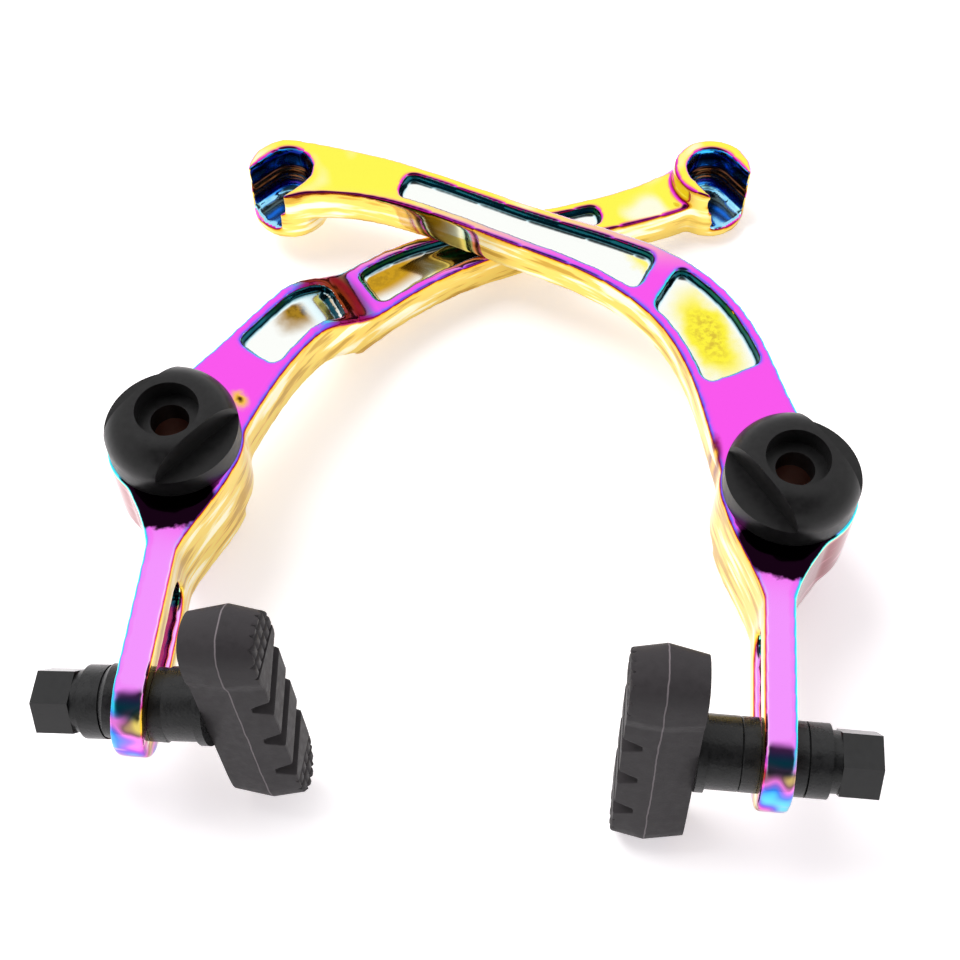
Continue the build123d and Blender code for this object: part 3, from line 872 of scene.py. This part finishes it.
@dataclass
class Studio:
    """White table, white room with a dark patch on the camera's side, and one soft lamp."""

    floor_half: float = 1.5
    paper: float = 0.92
    floor_glow: float = 0.42
    shade_tint: tuple[float, ...] = (1.0, 0.93, 0.98, 1.0)
    sky: float = 1.0
    patch: float = 0.05
    patch_inner_deg: float = 22.0
    patch_outer_deg: float = 44.0
    lamp_place: tuple[float, float, float] = (-0.35, 0.30, 0.70)
    lamp_size: float = 0.55
    lamp_watts: float = 5.0

    def floor_finish(self) -> bpy.types.Material:
        """Make white paper that the camera sees a little brighter, so that only shadows show on it.

        Returns:
            The material.
        """
        made = bpy.data.materials.new("white_table")
        made.use_nodes = True
        graph = Graph(made.node_tree)
        paper = graph.add("ShaderNodeBsdfDiffuse", {"Color": (self.paper, self.paper, self.paper, 1.0)})
        ray = graph.add("ShaderNodeLightPath")
        seen = graph.math("MAXIMUM", ray.outputs["Is Camera Ray"], ray.outputs["Is Glossy Ray"])
        seen = graph.product(seen, self.floor_glow)
        glow = graph.add("ShaderNodeEmission", {"Color": self.shade_tint, "Strength": seen})
        both = graph.add("ShaderNodeAddShader", {0: paper.outputs[0], 1: glow.outputs[0]})
        graph.add("ShaderNodeOutputMaterial", {0: both.outputs[0]})
        return made

    def floor(self) -> None:
        """Lay the table, a flat square at the level of the pair's feet."""
        reach = self.floor_half
        mesh = bpy.data.meshes.new("table")
        corners = [(-reach, -reach, 0), (reach, -reach, 0), (reach, reach, 0), (-reach, reach, 0)]
        mesh.from_pydata(corners, [], [(0, 1, 2, 3)])
        mesh.materials.append(self.floor_finish())
        add_object("table", mesh)

    def room(self, toward_camera: Vector) -> None:
        """Light the scene from all round, less from the camera's side.

        Args:
            toward_camera: Direction from the object to the camera.
        """
        world = bpy.data.worlds.new("room")
        world.use_nodes = True
        bpy.context.scene.world = world
        graph = Graph(world.node_tree)
        look = graph.add("ShaderNodeTexCoord").outputs["Generated"]
        near = graph.vector("DOT_PRODUCT", look, tuple(toward_camera), scalar=True)
        outer, inner = cos(radians(self.patch_outer_deg)), cos(radians(self.patch_inner_deg))
        level = graph.remap(near, outer, inner, self.sky, self.patch)
        ray = graph.add("ShaderNodeLightPath")
        seen = graph.math("MAXIMUM", level, ray.outputs["Is Camera Ray"])
        back = graph.add("ShaderNodeBackground", {"Color": (1.0, 1.0, 1.0, 1.0), "Strength": seen})
        graph.add("ShaderNodeOutputWorld", {0: back.outputs[0]})

    def lamp(self) -> None:
        """Hang the soft lamp, turned to the middle of the table and left out of reflections."""
        data = bpy.data.lights.new("key", "AREA")
        data.shape = "DISK"
        data.size = self.lamp_size
        data.energy = self.lamp_watts
        lamp = add_object("key", data)
        place = Vector(self.lamp_place)
        lamp.visible_glossy = False
        lamp.matrix_world = Matrix.Translation(place) @ place.to_track_quat("Z", "Y").to_matrix().to_4x4()

    def build(self, toward_camera: Vector) -> None:
        """Make the table, the room and the lamp.

        Args:
            toward_camera: Direction from the object to the camera.
        """
        self.floor()
        self.room(toward_camera)
        self.lamp()
        bpy.context.scene.view_settings.view_transform = "Standard"
        LOG.info("studio: table, room and lamp")


def read(things: Any, name: str, width: int = 3, kind: Any = np.float64) -> np.ndarray:
    """Read one property of a mesh's vertices, loops or faces.

    Args:
        things: The vertices, loops or faces.
        name: The property's name.
        width: How many numbers each of them has.
        kind: The numbers' type.

    Returns:
        One row for each of them, or one number where the width is 1.
    """
    values = np.empty(len(things) * width, dtype=kind)
    things.foreach_get(name, values)
    return values.reshape(-1, width) if width > 1 else values


def loop_faces(mesh: bpy.types.Mesh) -> np.ndarray:
    """Return the number of the face that each loop belongs to."""
    return np.repeat(np.arange(len(mesh.polygons)), read(mesh.polygons, "loop_total", 1, np.int64))


class Region(IntEnum):
    """The parts of an arm's surface that have a finish of their own, by material slot."""

    OUTSIDE = 0
    LONG_POCKET = 1
    SHORT_POCKET = 2
    SOCKET = 3


@dataclass(frozen=True)
class Pocket:
    """Where a lightening pocket is, the middle of its floor, and the painted glow of colour on that floor."""

    name: str
    on_floor: Place
    glow: Patch
    heart_share: float = 0.0


@dataclass(frozen=True)
class ArmSizes:
    """What tells one side's pockets and socket from the rest of its arm, in the arms' own frame."""

    pockets: tuple[Pocket, Pocket]
    socket: Place
    socket_top: float
    socket_radius: float = 7.2 * MM
    socket_depth: float = 9.9 * MM
    pocket_depth: float = 4.0 * MM
    pocket_share: float = 0.55
    step_start: Place | None = None
    step_heading: Place = (0.79, 0.61)


# Each pocket's glow is a painted glow of colour on its floor, most with a darker heart.
ARM_SIZES = {
    Side.RIGHT: ArmSizes(
        (
            Pocket("long", (12.0 * MM, 53.0 * MM), Patch(
                (30.0 * MM, 46.0 * MM), (12.0 * MM, 3.4 * MM), -42.0, srgb(255, 246, 120),
            )),
            Pocket("short", (41.0 * MM, 27.0 * MM), Patch(
                (38.6 * MM, 32.5 * MM), (13.0 * MM, 5.6 * MM), 116.0, srgb(255, 244, 66), srgb(188, 140, 60),
            ), heart_share=0.55),
        ),
        (-43.1 * MM, 64.1 * MM), 0.0,
    ),
    Side.LEFT: ArmSizes(
        (
            Pocket("long", (-12.0 * MM, 53.0 * MM), Patch(
                (-24.0 * MM, 46.0 * MM), (15.0 * MM, 4.6 * MM), 36.0, srgb(206, 158, 34), srgb(120, 90, 30),
            ), heart_share=0.35),
            Pocket("short", (-38.5 * MM, 27.0 * MM), Patch(
                (-35.0 * MM, 33.0 * MM), (8.5 * MM, 5.0 * MM), 56.0, srgb(168, 128, 34), srgb(44, 26, 14),
            ), heart_share=1.0),
        ),
        (38.9 * MM, 74.8 * MM), -3.5 * MM, step_start=(-28.9 * MM, 37.8 * MM),
    ),
}


@dataclass
class PlatedArm:
    """One arm as it is seen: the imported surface, with a finish for each pocket and for the socket."""

    side: Side
    arms: ArmsFrame
    weld: float = 0.01 * MM
    step_drop: float = 8.0 * MM
    step_length: float = 5.0 * MM
    slope_from: float = -11.0 * MM
    slope_to: float = 6.0 * MM
    slope_cuts: int = 14
    far_underside: float = -16.0 * MM
    face_size: float = 0.38 * MM
    smoothing: int = 25
    smoothing_factor: float = 0.5
    rim_height: float = 0.4 * MM
    seat_gap: float = 0.05 * MM
    depth_weight: float = 2.0
    depth_limit: float = 1.2
    socket_slack: float = 0.2 * MM

    @property
    def node(self) -> str:
        """The frame's name for the arm."""
        return f"{self.side.word}_arm"

    @property
    def sizes(self) -> ArmSizes:
        """Where this side's pockets, socket and step are."""
        return ARM_SIZES[self.side]

    def surface(self, solid: bpy.types.Object) -> bpy.types.Mesh:
        """Copy the solid's mesh, join its loose triangles, and give it the seen floors and slope.

        The left arm is first cut across its step in many places, so that it can bend there.

        Args:
            solid: The frame's own arm.

        Returns:
            The mesh, with its edges still sharp.
        """
        mesh = solid.data.copy()
        joined = bmesh.new()
        joined.from_mesh(mesh)
        bmesh.ops.remove_doubles(joined, verts=joined.verts, dist=self.weld)
        if self.sizes.step_start:
            heading = self.arms.direction(*self.sizes.step_heading)
            for cut in np.linspace(self.slope_from, self.slope_to, self.slope_cuts):
                place = self.arms.point(*self.sizes.step_start) + heading * float(cut)
                geometry = [*joined.verts, *joined.edges, *joined.faces]
                bmesh.ops.bisect_plane(
                    joined, geom=geometry, dist=self.weld, plane_co=place, plane_no=heading,
                )
        joined.to_mesh(mesh)
        joined.free()
        mesh.materials.clear()
        self.shallow(mesh, self.regions(mesh, False))
        if self.sizes.step_start:
            self.slope(mesh)
        return mesh

    def rounded(self, mesh: bpy.types.Mesh) -> bpy.types.Mesh:
        """Cover the surface with small even faces and smooth them, which rounds every edge.

        Args:
            mesh: The surface, which is used up.

        Returns:
            The rounded mesh.
        """
        mould = add_object("mould", mesh)
        cover = mould.modifiers.new("cover", "REMESH")
        cover.mode = "VOXEL"
        cover.voxel_size = self.face_size
        soft = mould.modifiers.new("soft", "SMOOTH")
        soft.factor = self.smoothing_factor
        soft.iterations = self.smoothing
        inset = mould.modifiers.new("inset", "DISPLACE")
        inset.mid_level = 0.0
        inset.strength = -self.seat_gap
        graph = bpy.context.evaluated_depsgraph_get()
        made = bpy.data.meshes.new_from_object(mould.evaluated_get(graph))
        bpy.data.objects.remove(mould)
        bpy.data.meshes.remove(mesh)
        LOG.info("%s: %d faces", self.node, len(made.polygons))
        return made

    def top(self, local: np.ndarray, eased: bool) -> np.ndarray:
        """Work out the level of the arm's top face, which only the left arm's step changes.

        A point's distance along the step is where it lies from the step's start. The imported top
        falls evenly over the step's own length; the seen one eases down over a longer stretch that
        ends near the same place.

        Args:
            local: Places in the arms' own frame, one a row.
            eased: Whether the seen top is meant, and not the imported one.

        Returns:
            The level of the top face at each place.
        """
        if not self.sizes.step_start:
            return np.zeros(len(local))
        along = (local[:, :2] - np.array(self.sizes.step_start)) @ np.array(self.sizes.step_heading)
        if not eased:
            return -self.step_drop * np.clip(along / self.step_length, 0.0, 1.0)
        share = np.clip((along - self.slope_from) / (self.slope_to - self.slope_from), 0.0, 1.0)
        return -self.step_drop * ease(share)

    def lift(self, mesh: bpy.types.Mesh, rise: np.ndarray) -> None:
        """Move each vertex out of the top face by its own rise.

        Args:
            mesh: The surface.
            rise: How far each vertex moves.
        """
        places = read(mesh.vertices, "co") + np.outer(rise, np.array(self.arms.up))
        mesh.vertices.foreach_set("co", places.ravel())
        mesh.update()

    def slope(self, mesh: bpy.types.Mesh) -> None:
        """Turn the left arm's short step into a long easy slope.

        Every point of the beam moves by the difference of the two tops, no lower than the underside
        of the far part.

        Args:
            mesh: The surface.
        """
        local = self.arms.measure(read(mesh.vertices, "co"))
        level = local[:, 2]
        change = self.top(local, True) - self.top(local, False)
        eased = np.maximum(level + change, np.minimum(level, self.far_underside))
        self.lift(mesh, np.where(local[:, 1] > 0.0, eased - level, 0.0))

    def touched(self, mesh: bpy.types.Mesh, chosen: np.ndarray) -> np.ndarray:
        """Find the vertices that the chosen faces have as corners.

        Args:
            mesh: The surface.
            chosen: Whether each face is chosen.

        Returns:
            Whether each vertex is a corner of a chosen face.
        """
        there = np.zeros(len(mesh.vertices), dtype=bool)
        there[read(mesh.loops, "vertex_index", 1, np.int64)[chosen[loop_faces(mesh)]]] = True
        return there

    def shallow(self, mesh: bpy.types.Mesh, slots: np.ndarray) -> None:
        """Raise both pockets' floors to a share of their depth, as their soft corners make them look.

        Args:
            mesh: The surface.
            slots: Each face's region.
        """
        in_pocket = (slots == Region.LONG_POCKET) | (slots == Region.SHORT_POCKET)
        raised = self.touched(mesh, in_pocket) & ~self.touched(mesh, slots == Region.OUTSIDE)
        self.lift(mesh, raised * (1.0 - self.sizes.pocket_share) * self.sizes.pocket_depth)
        LOG.info("%s pocket floors: %d corners raised", self.node, raised.sum())

    def neighbours(self, mesh: bpy.types.Mesh) -> np.ndarray:
        """Find the faces that share an edge.

        Args:
            mesh: The surface.

        Returns:
            The pairs of faces, one pair a row.
        """
        edges = read(mesh.loops, "edge_index", 1, np.int64)
        faces = loop_faces(mesh)
        order = np.argsort(edges, kind="stable")
        same = edges[order][1:] == edges[order][:-1]
        return np.stack([faces[order][:-1][same], faces[order][1:][same]], axis=1)

    def patches(self, allowed: np.ndarray, pairs: np.ndarray) -> np.ndarray:
        """Number the patches that the allowed faces form, by the lowest face in each.

        Neighbours take the lower of their two numbers, and every face then takes the number of the
        face that it points to, until nothing changes.

        Args:
            allowed: Whether each face may be in a patch.
            pairs: The faces that share an edge, one pair a row.

        Returns:
            Each face's patch.
        """
        first, second = pairs[allowed[pairs].all(axis=1)].T
        labels = np.arange(len(allowed))
        while True:
            before = labels.copy()
            low = np.minimum(labels[first], labels[second])
            np.minimum.at(labels, first, low)
            np.minimum.at(labels, second, low)
            labels = labels[labels]
            if (labels == before).all():
                return labels

    def regions(self, mesh: bpy.types.Mesh, eased: bool) -> np.ndarray:
        """Tell the pockets and the socket from the rest of the surface.

        A pocket is the patch of faces below the top face that holds the face nearest to the middle
        of the pocket's floor. The socket is every face whose middle lies inside the barrel.

        Args:
            mesh: The surface.
            eased: Whether it already has the seen slope.

        Returns:
            Each face's region.
        """
        middle = self.arms.measure(read(mesh.polygons, "center"))
        sizes = self.sizes
        below = middle[:, 2] - self.top(middle, eased)
        allowed = below < -self.rim_height
        labels = self.patches(allowed, self.neighbours(mesh))
        slots = np.full(len(mesh.polygons), int(Region.OUTSIDE), dtype=np.int32)
        for slot, pocket in zip((Region.LONG_POCKET, Region.SHORT_POCKET), sizes.pockets):
            away = np.linalg.norm(middle[:, :2] - np.array(pocket.on_floor), axis=1)
            away -= self.depth_weight * below
            away[~allowed | (below < -self.depth_limit * sizes.pocket_depth)] = np.inf
            slots[labels == labels[np.argmin(away)]] = slot
            LOG.info("%s %s pocket: %d faces", self.node, pocket.name, (slots == slot).sum())
        aside = np.linalg.norm(middle[:, :2] - np.array(sizes.socket), axis=1)
        above = middle[:, 2] > sizes.socket_top - sizes.socket_depth - self.socket_slack
        inside = above & (middle[:, 2] < sizes.socket_top - self.rim_height)
        slots[(aside < sizes.socket_radius) & inside] = Region.SOCKET
        LOG.info("%s socket: %d faces", self.node, (slots == Region.SOCKET).sum())
        return slots

    def finishes(self) -> list[Finish]:
        """Choose a finish for each region.

        Returns:
            The finishes, in the regions' order.
        """
        word = self.side.word
        pockets = [
            PocketMirror(
                f"{word}_{pocket.name}_pocket", POCKET_WHITE, MIRROR_ROUGHNESS, metallic=1.0,
                glow=pocket.glow, heart_share=pocket.heart_share,
            )
            for pocket in self.sizes.pockets
        ]
        socket = SocketMirror(
            f"{word}_cable_socket", SOCKET_BLUE, MIRROR_ROUGHNESS, metallic=1.0,
            top=self.sizes.socket_top, depth=self.sizes.socket_depth,
        )
        return [PLATING, *pockets, socket]

    def build(self, solid: bpy.types.Object) -> None:
        """Make the arm that takes the solid's place.

        Args:
            solid: The frame's own arm.
        """
        arm = add_object(f"{self.side.word}_plated_arm", self.rounded(self.surface(solid)))
        for finish in self.finishes():
            arm.data.materials.append(finish.material(self.arms))
        slots = self.regions(arm.data, True)
        arm.data.polygons.foreach_set("material_index", slots)
        arm.data.polygons.foreach_set("use_smooth", np.ones(len(slots), dtype=bool))
        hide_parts(self.node)
        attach(arm, "base")


@dataclass(frozen=True)
class PadSizes:
    """A moulded pad: x along it, y across it and z out of its rubbing face, from its parting plane."""

    length: float = 44.6 * MM
    half_width: float = 5.3 * MM
    bulb_half_width: float = 6.0 * MM
    bulb_length: float = 10.0 * MM
    bulb_ease: float = 2.6 * MM
    back: float = 6.4 * MM
    front: float = 5.6 * MM
    draft: float = 0.12
    end_draft: float = 0.20
    end_power: float = 11.0
    groove_pitch: float = 8.6 * MM
    groove_slope: float = 0.53
    groove_half: float = 1.45 * MM
    groove_root: float = 0.5 * MM
    groove_depth: float = 3.1 * MM
    grooves: int = 3
    bar_length: float = 2.7 * MM
    bar_width: float = 1.9 * MM
    bar_gap: float = 0.75 * MM
    bar_power_along: int = 5
    bar_power_across: int = 4
    bars_from: float = 14.6 * MM
    edge_from: float = 0.80
    edge_reach: float = 0.07
    edge_drop: float = 0.10 * MM
    stations: int = 320
    crowding: float = 0.86
    side_rows: int = 16
    back_rows: int = 14
    face_rows: int = 28
    weld: float = 0.002 * MM
    crease_deg: float = 32.0


@dataclass
class MouldedPad:
    """One pad as it is seen: bulb at its far end, notched grooves and rows of small raised bars."""

    side: Side
    arms: ArmsFrame
    axis: Vector
    sizes: PadSizes = PadSizes()

    def frame(self, solid: bpy.types.Object) -> tuple[np.ndarray, np.ndarray]:
        """Work out the pad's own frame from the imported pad.

        The pad's length is the direction across the stud in which the solid spreads most. The
        origin is on the middle of the parting plane, which lies the back's depth from the back.

        Args:
            solid: The frame's own pad.

        Returns:
            The origin, and the three axes as rows.
        """
        places = read(solid.data.vertices, "co")
        out = np.array(self.axis)
        flat = places - np.outer(places @ out, out)
        values, vectors = np.linalg.eigh(np.cov(flat.T))
        along = vectors[:, np.argmax(values)]
        along *= np.sign(along @ np.array(self.arms.along))
        axes = np.array([along, np.cross(out, along), out])
        local = places @ axes.T
        middle = (local.min(axis=0) + local.max(axis=0)) / 2
        middle[2] = local[:, 2].min() + self.sizes.back
        return middle @ axes, axes

    def section(self) -> np.ndarray:
        """Work out one cross-section at full width.

        It runs from the middle of the back, round the rounded corners and both drafted walls, to
        the middle of the face and down the other side.

        Returns:
            Its points, each a share of the width and a height.
        """
        sizes = self.sizes
        back_share = 1.0 - sizes.back * sizes.draft / sizes.half_width
        face_share = 1.0 - sizes.front * sizes.draft / sizes.half_width
        walls = np.linspace(0.0, 1.0, sizes.side_rows)
        over_back = np.linspace(0.0, back_share, sizes.back_rows)
        over_face = np.linspace(face_share, 0.0, sizes.face_rows)
        back = np.stack([over_back, np.full_like(over_back, -sizes.back)], axis=1)
        lower = np.stack([back_share + (1.0 - back_share) * walls, -sizes.back * (1.0 - walls)], axis=1)
        upper = np.stack([1.0 - (1.0 - face_share) * walls, sizes.front * walls], axis=1)
        face = np.stack([over_face, np.full_like(over_face, sizes.front)], axis=1)
        half = np.concatenate([back, lower[1:], upper[1:], face[1:]])
        other = half[-2:0:-1] * (-1.0, 1.0)
        return np.concatenate([half, other])

    def cut(self, x: np.ndarray, y: np.ndarray) -> np.ndarray:
        """Work out how deep the face lies below its plane.

        Each groove is a notch with sloping walls along a slanted line. At both ends the face is
        split into small bars with rounded tops by a grid of gaps.

        Args:
            x: Places along the pad.
            y: Places across it.

        Returns:
            The depth at each place.
        """
        sizes = self.sizes
        depth = np.zeros_like(x)
        slope = self.side.value * sizes.groove_slope
        for number in range(sizes.grooves):
            middle = (number - (sizes.grooves - 1) / 2) * sizes.groove_pitch
            away = np.abs(x - middle - slope * y) / np.hypot(1.0, slope)
            share = np.clip((sizes.groove_half - away) / (sizes.groove_half - sizes.groove_root), 0.0, 1.0)
            depth = np.maximum(depth, share * sizes.groove_depth)
        across = np.abs(np.mod(np.abs(x) - sizes.bars_from, sizes.bar_length) / sizes.bar_length * 2 - 1)
        beside = np.abs(np.mod(y, sizes.bar_width) / sizes.bar_width * 2 - 1)
        gap = sizes.bar_gap * np.maximum(across ** sizes.bar_power_along, beside ** sizes.bar_power_across)
        return np.where(np.abs(x) > sizes.bars_from, np.maximum(depth, gap), depth)

    def surface(self, origin: np.ndarray, axes: np.ndarray) -> bpy.types.Mesh:
        """Sweep the cross-section along the pad and press the grooves and gaps into its face.

        The width eases from the waist to the bulb at the far end and closes at both ends along a
        high power of the place, which gives round corners. Each level is shorter by its distance
        from the parting plane times the end draft.

        Args:
            origin: The pad's origin in the world.
            axes: Its axes, as rows.

        Returns:
            The closed mesh.
        """
        sizes = self.sizes
        turns = np.linspace(-1.0, 1.0, sizes.stations) * pi / 2 * sizes.crowding
        place = np.sin(turns) / np.sin(pi / 2 * sizes.crowding)
        section = self.section()
        u, share = np.meshgrid(place, section[:, 0], indexing="ij")
        z = np.tile(section[:, 1], (sizes.stations, 1))
        x = u * (sizes.length / 2 - np.abs(z) * sizes.end_draft)
        reach = np.clip((x - (sizes.length / 2 - sizes.bulb_length)) / sizes.bulb_ease + 0.5, 0.0, 1.0)
        width = sizes.half_width + (sizes.bulb_half_width - sizes.half_width) * ease(reach)
        y = share * width * np.sqrt(np.maximum(0.0, 1.0 - np.abs(u) ** sizes.end_power))
        edge = np.clip((np.abs(share) - sizes.edge_from) / sizes.edge_reach, 0.0, 1.0)
        pressed = sizes.front - self.cut(x, y) - sizes.edge_drop * edge ** 2
        z = np.where(z > 0, np.minimum(z, pressed), z)
        local = np.stack([x, y, z], axis=-1).reshape(-1, 3)
        first = np.arange(len(local)).reshape(z.shape)
        after = np.roll(first, -1, axis=1)
        faces = np.stack([first[:-1], first[1:], after[1:], after[:-1]], axis=-1).reshape(-1, 4)
        mesh = bpy.data.meshes.new(f"{self.side.word}_moulded_pad")
        mesh.from_pydata((local @ axes + origin).tolist(), [], faces.tolist())
        joined = bmesh.new()
        joined.from_mesh(mesh)
        bmesh.ops.remove_doubles(joined, verts=joined.verts, dist=sizes.weld)
        bmesh.ops.recalc_face_normals(joined, faces=joined.faces)
        joined.to_mesh(mesh)
        joined.free()
        mesh.polygons.foreach_set("use_smooth", np.ones(len(mesh.polygons), dtype=bool))
        mesh.set_sharp_from_angle(angle=radians(sizes.crease_deg))
        LOG.info("%s pad: %d faces", self.side.word, len(mesh.polygons))
        return mesh

    def build(self, solid: bpy.types.Object, body: str) -> None:
        """Make the pad that takes the solid's place.

        Args:
            solid: The frame's own pad.
            body: The body that it rides on.
        """
        origin, axes = self.frame(solid)
        word = self.side.word
        pad = add_object(f"{word}_moulded_pad", self.surface(origin, axes))
        finish = replace(RUBBER, name=f"{word}_pad_rubber", middle=tuple(origin), axis=tuple(axes[2]))
        pad.data.materials.append(finish.material(self.arms))
        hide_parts(f"{word}_pad")
        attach(pad, body)


@dataclass
class BrakeSide:
    """One half of the pair: its arm, pivot pieces and pad hardware."""

    side: Side
    arms: ArmsFrame
    stud_axis: Vector
    pad_body: str
    finishes: dict[str, Finish] = field(default_factory=lambda: {
        "bushing": BRONZE,
        "spring": SPRING_WIRE,
        "cap": CAP_BLACK,
        "inner_ball_washer": STEEL_BLACK,
        "outer_ball_washer": STEEL_BLACK,
        "cup_spacer": STEEL_BLACK,
        "cup_washer": STEEL_BLACK,
        "lock_washer": STEEL_BLACK,
        "nut": NUT_BLACK,
        "pad_stud": STEEL_BLACK,
    })

    def node(self, piece: str) -> str:
        """The frame's name for one of this side's pieces."""
        return f"{self.side.word}_{piece}"

    def dress(self, nodes: dict[str, bpy.types.Object]) -> None:
        """Give every solid of this side its finish.

        Args:
            nodes: The frame's objects by name.
        """
        for piece, finish in self.finishes.items():
            slots = nodes[self.node(piece)].data.materials
            slots.clear()
            slots.append(finish.material(self.arms))
            LOG.info("%s: %s", self.node(piece), finish.name)

    def build(self, nodes: dict[str, bpy.types.Object]) -> None:
        """Give this side's solids their finishes, and make its pad and its arm.

        Args:
            nodes: The frame's objects by name.
        """
        self.dress(nodes)
        MouldedPad(self.side, self.arms, self.stud_axis).build(nodes[self.node("pad")], self.pad_body)
        PlatedArm(self.side, self.arms).build(nodes[self.node("arm")])


def main() -> None:
    """Build the whole scene in order."""
    logging.basicConfig(level=logging.INFO, format="%(name)s %(message)s")
    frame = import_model()
    arms = ArmsFrame.read(frame)
    viewpoint = Viewpoint()
    viewpoint.place(arms)
    Studio().build(viewpoint.axes(arms)[1])
    joints = {joint["name"]: joint for joint in frame["joints"]}
    for side in Side:
        spin = joints[f"{side.word}_pad_spin"]
        BrakeSide(side, arms, Vector(spin["axis"]).normalized(), spin["child"]).build(frame["nodes"])


if __name__ == "__main__":
    main()
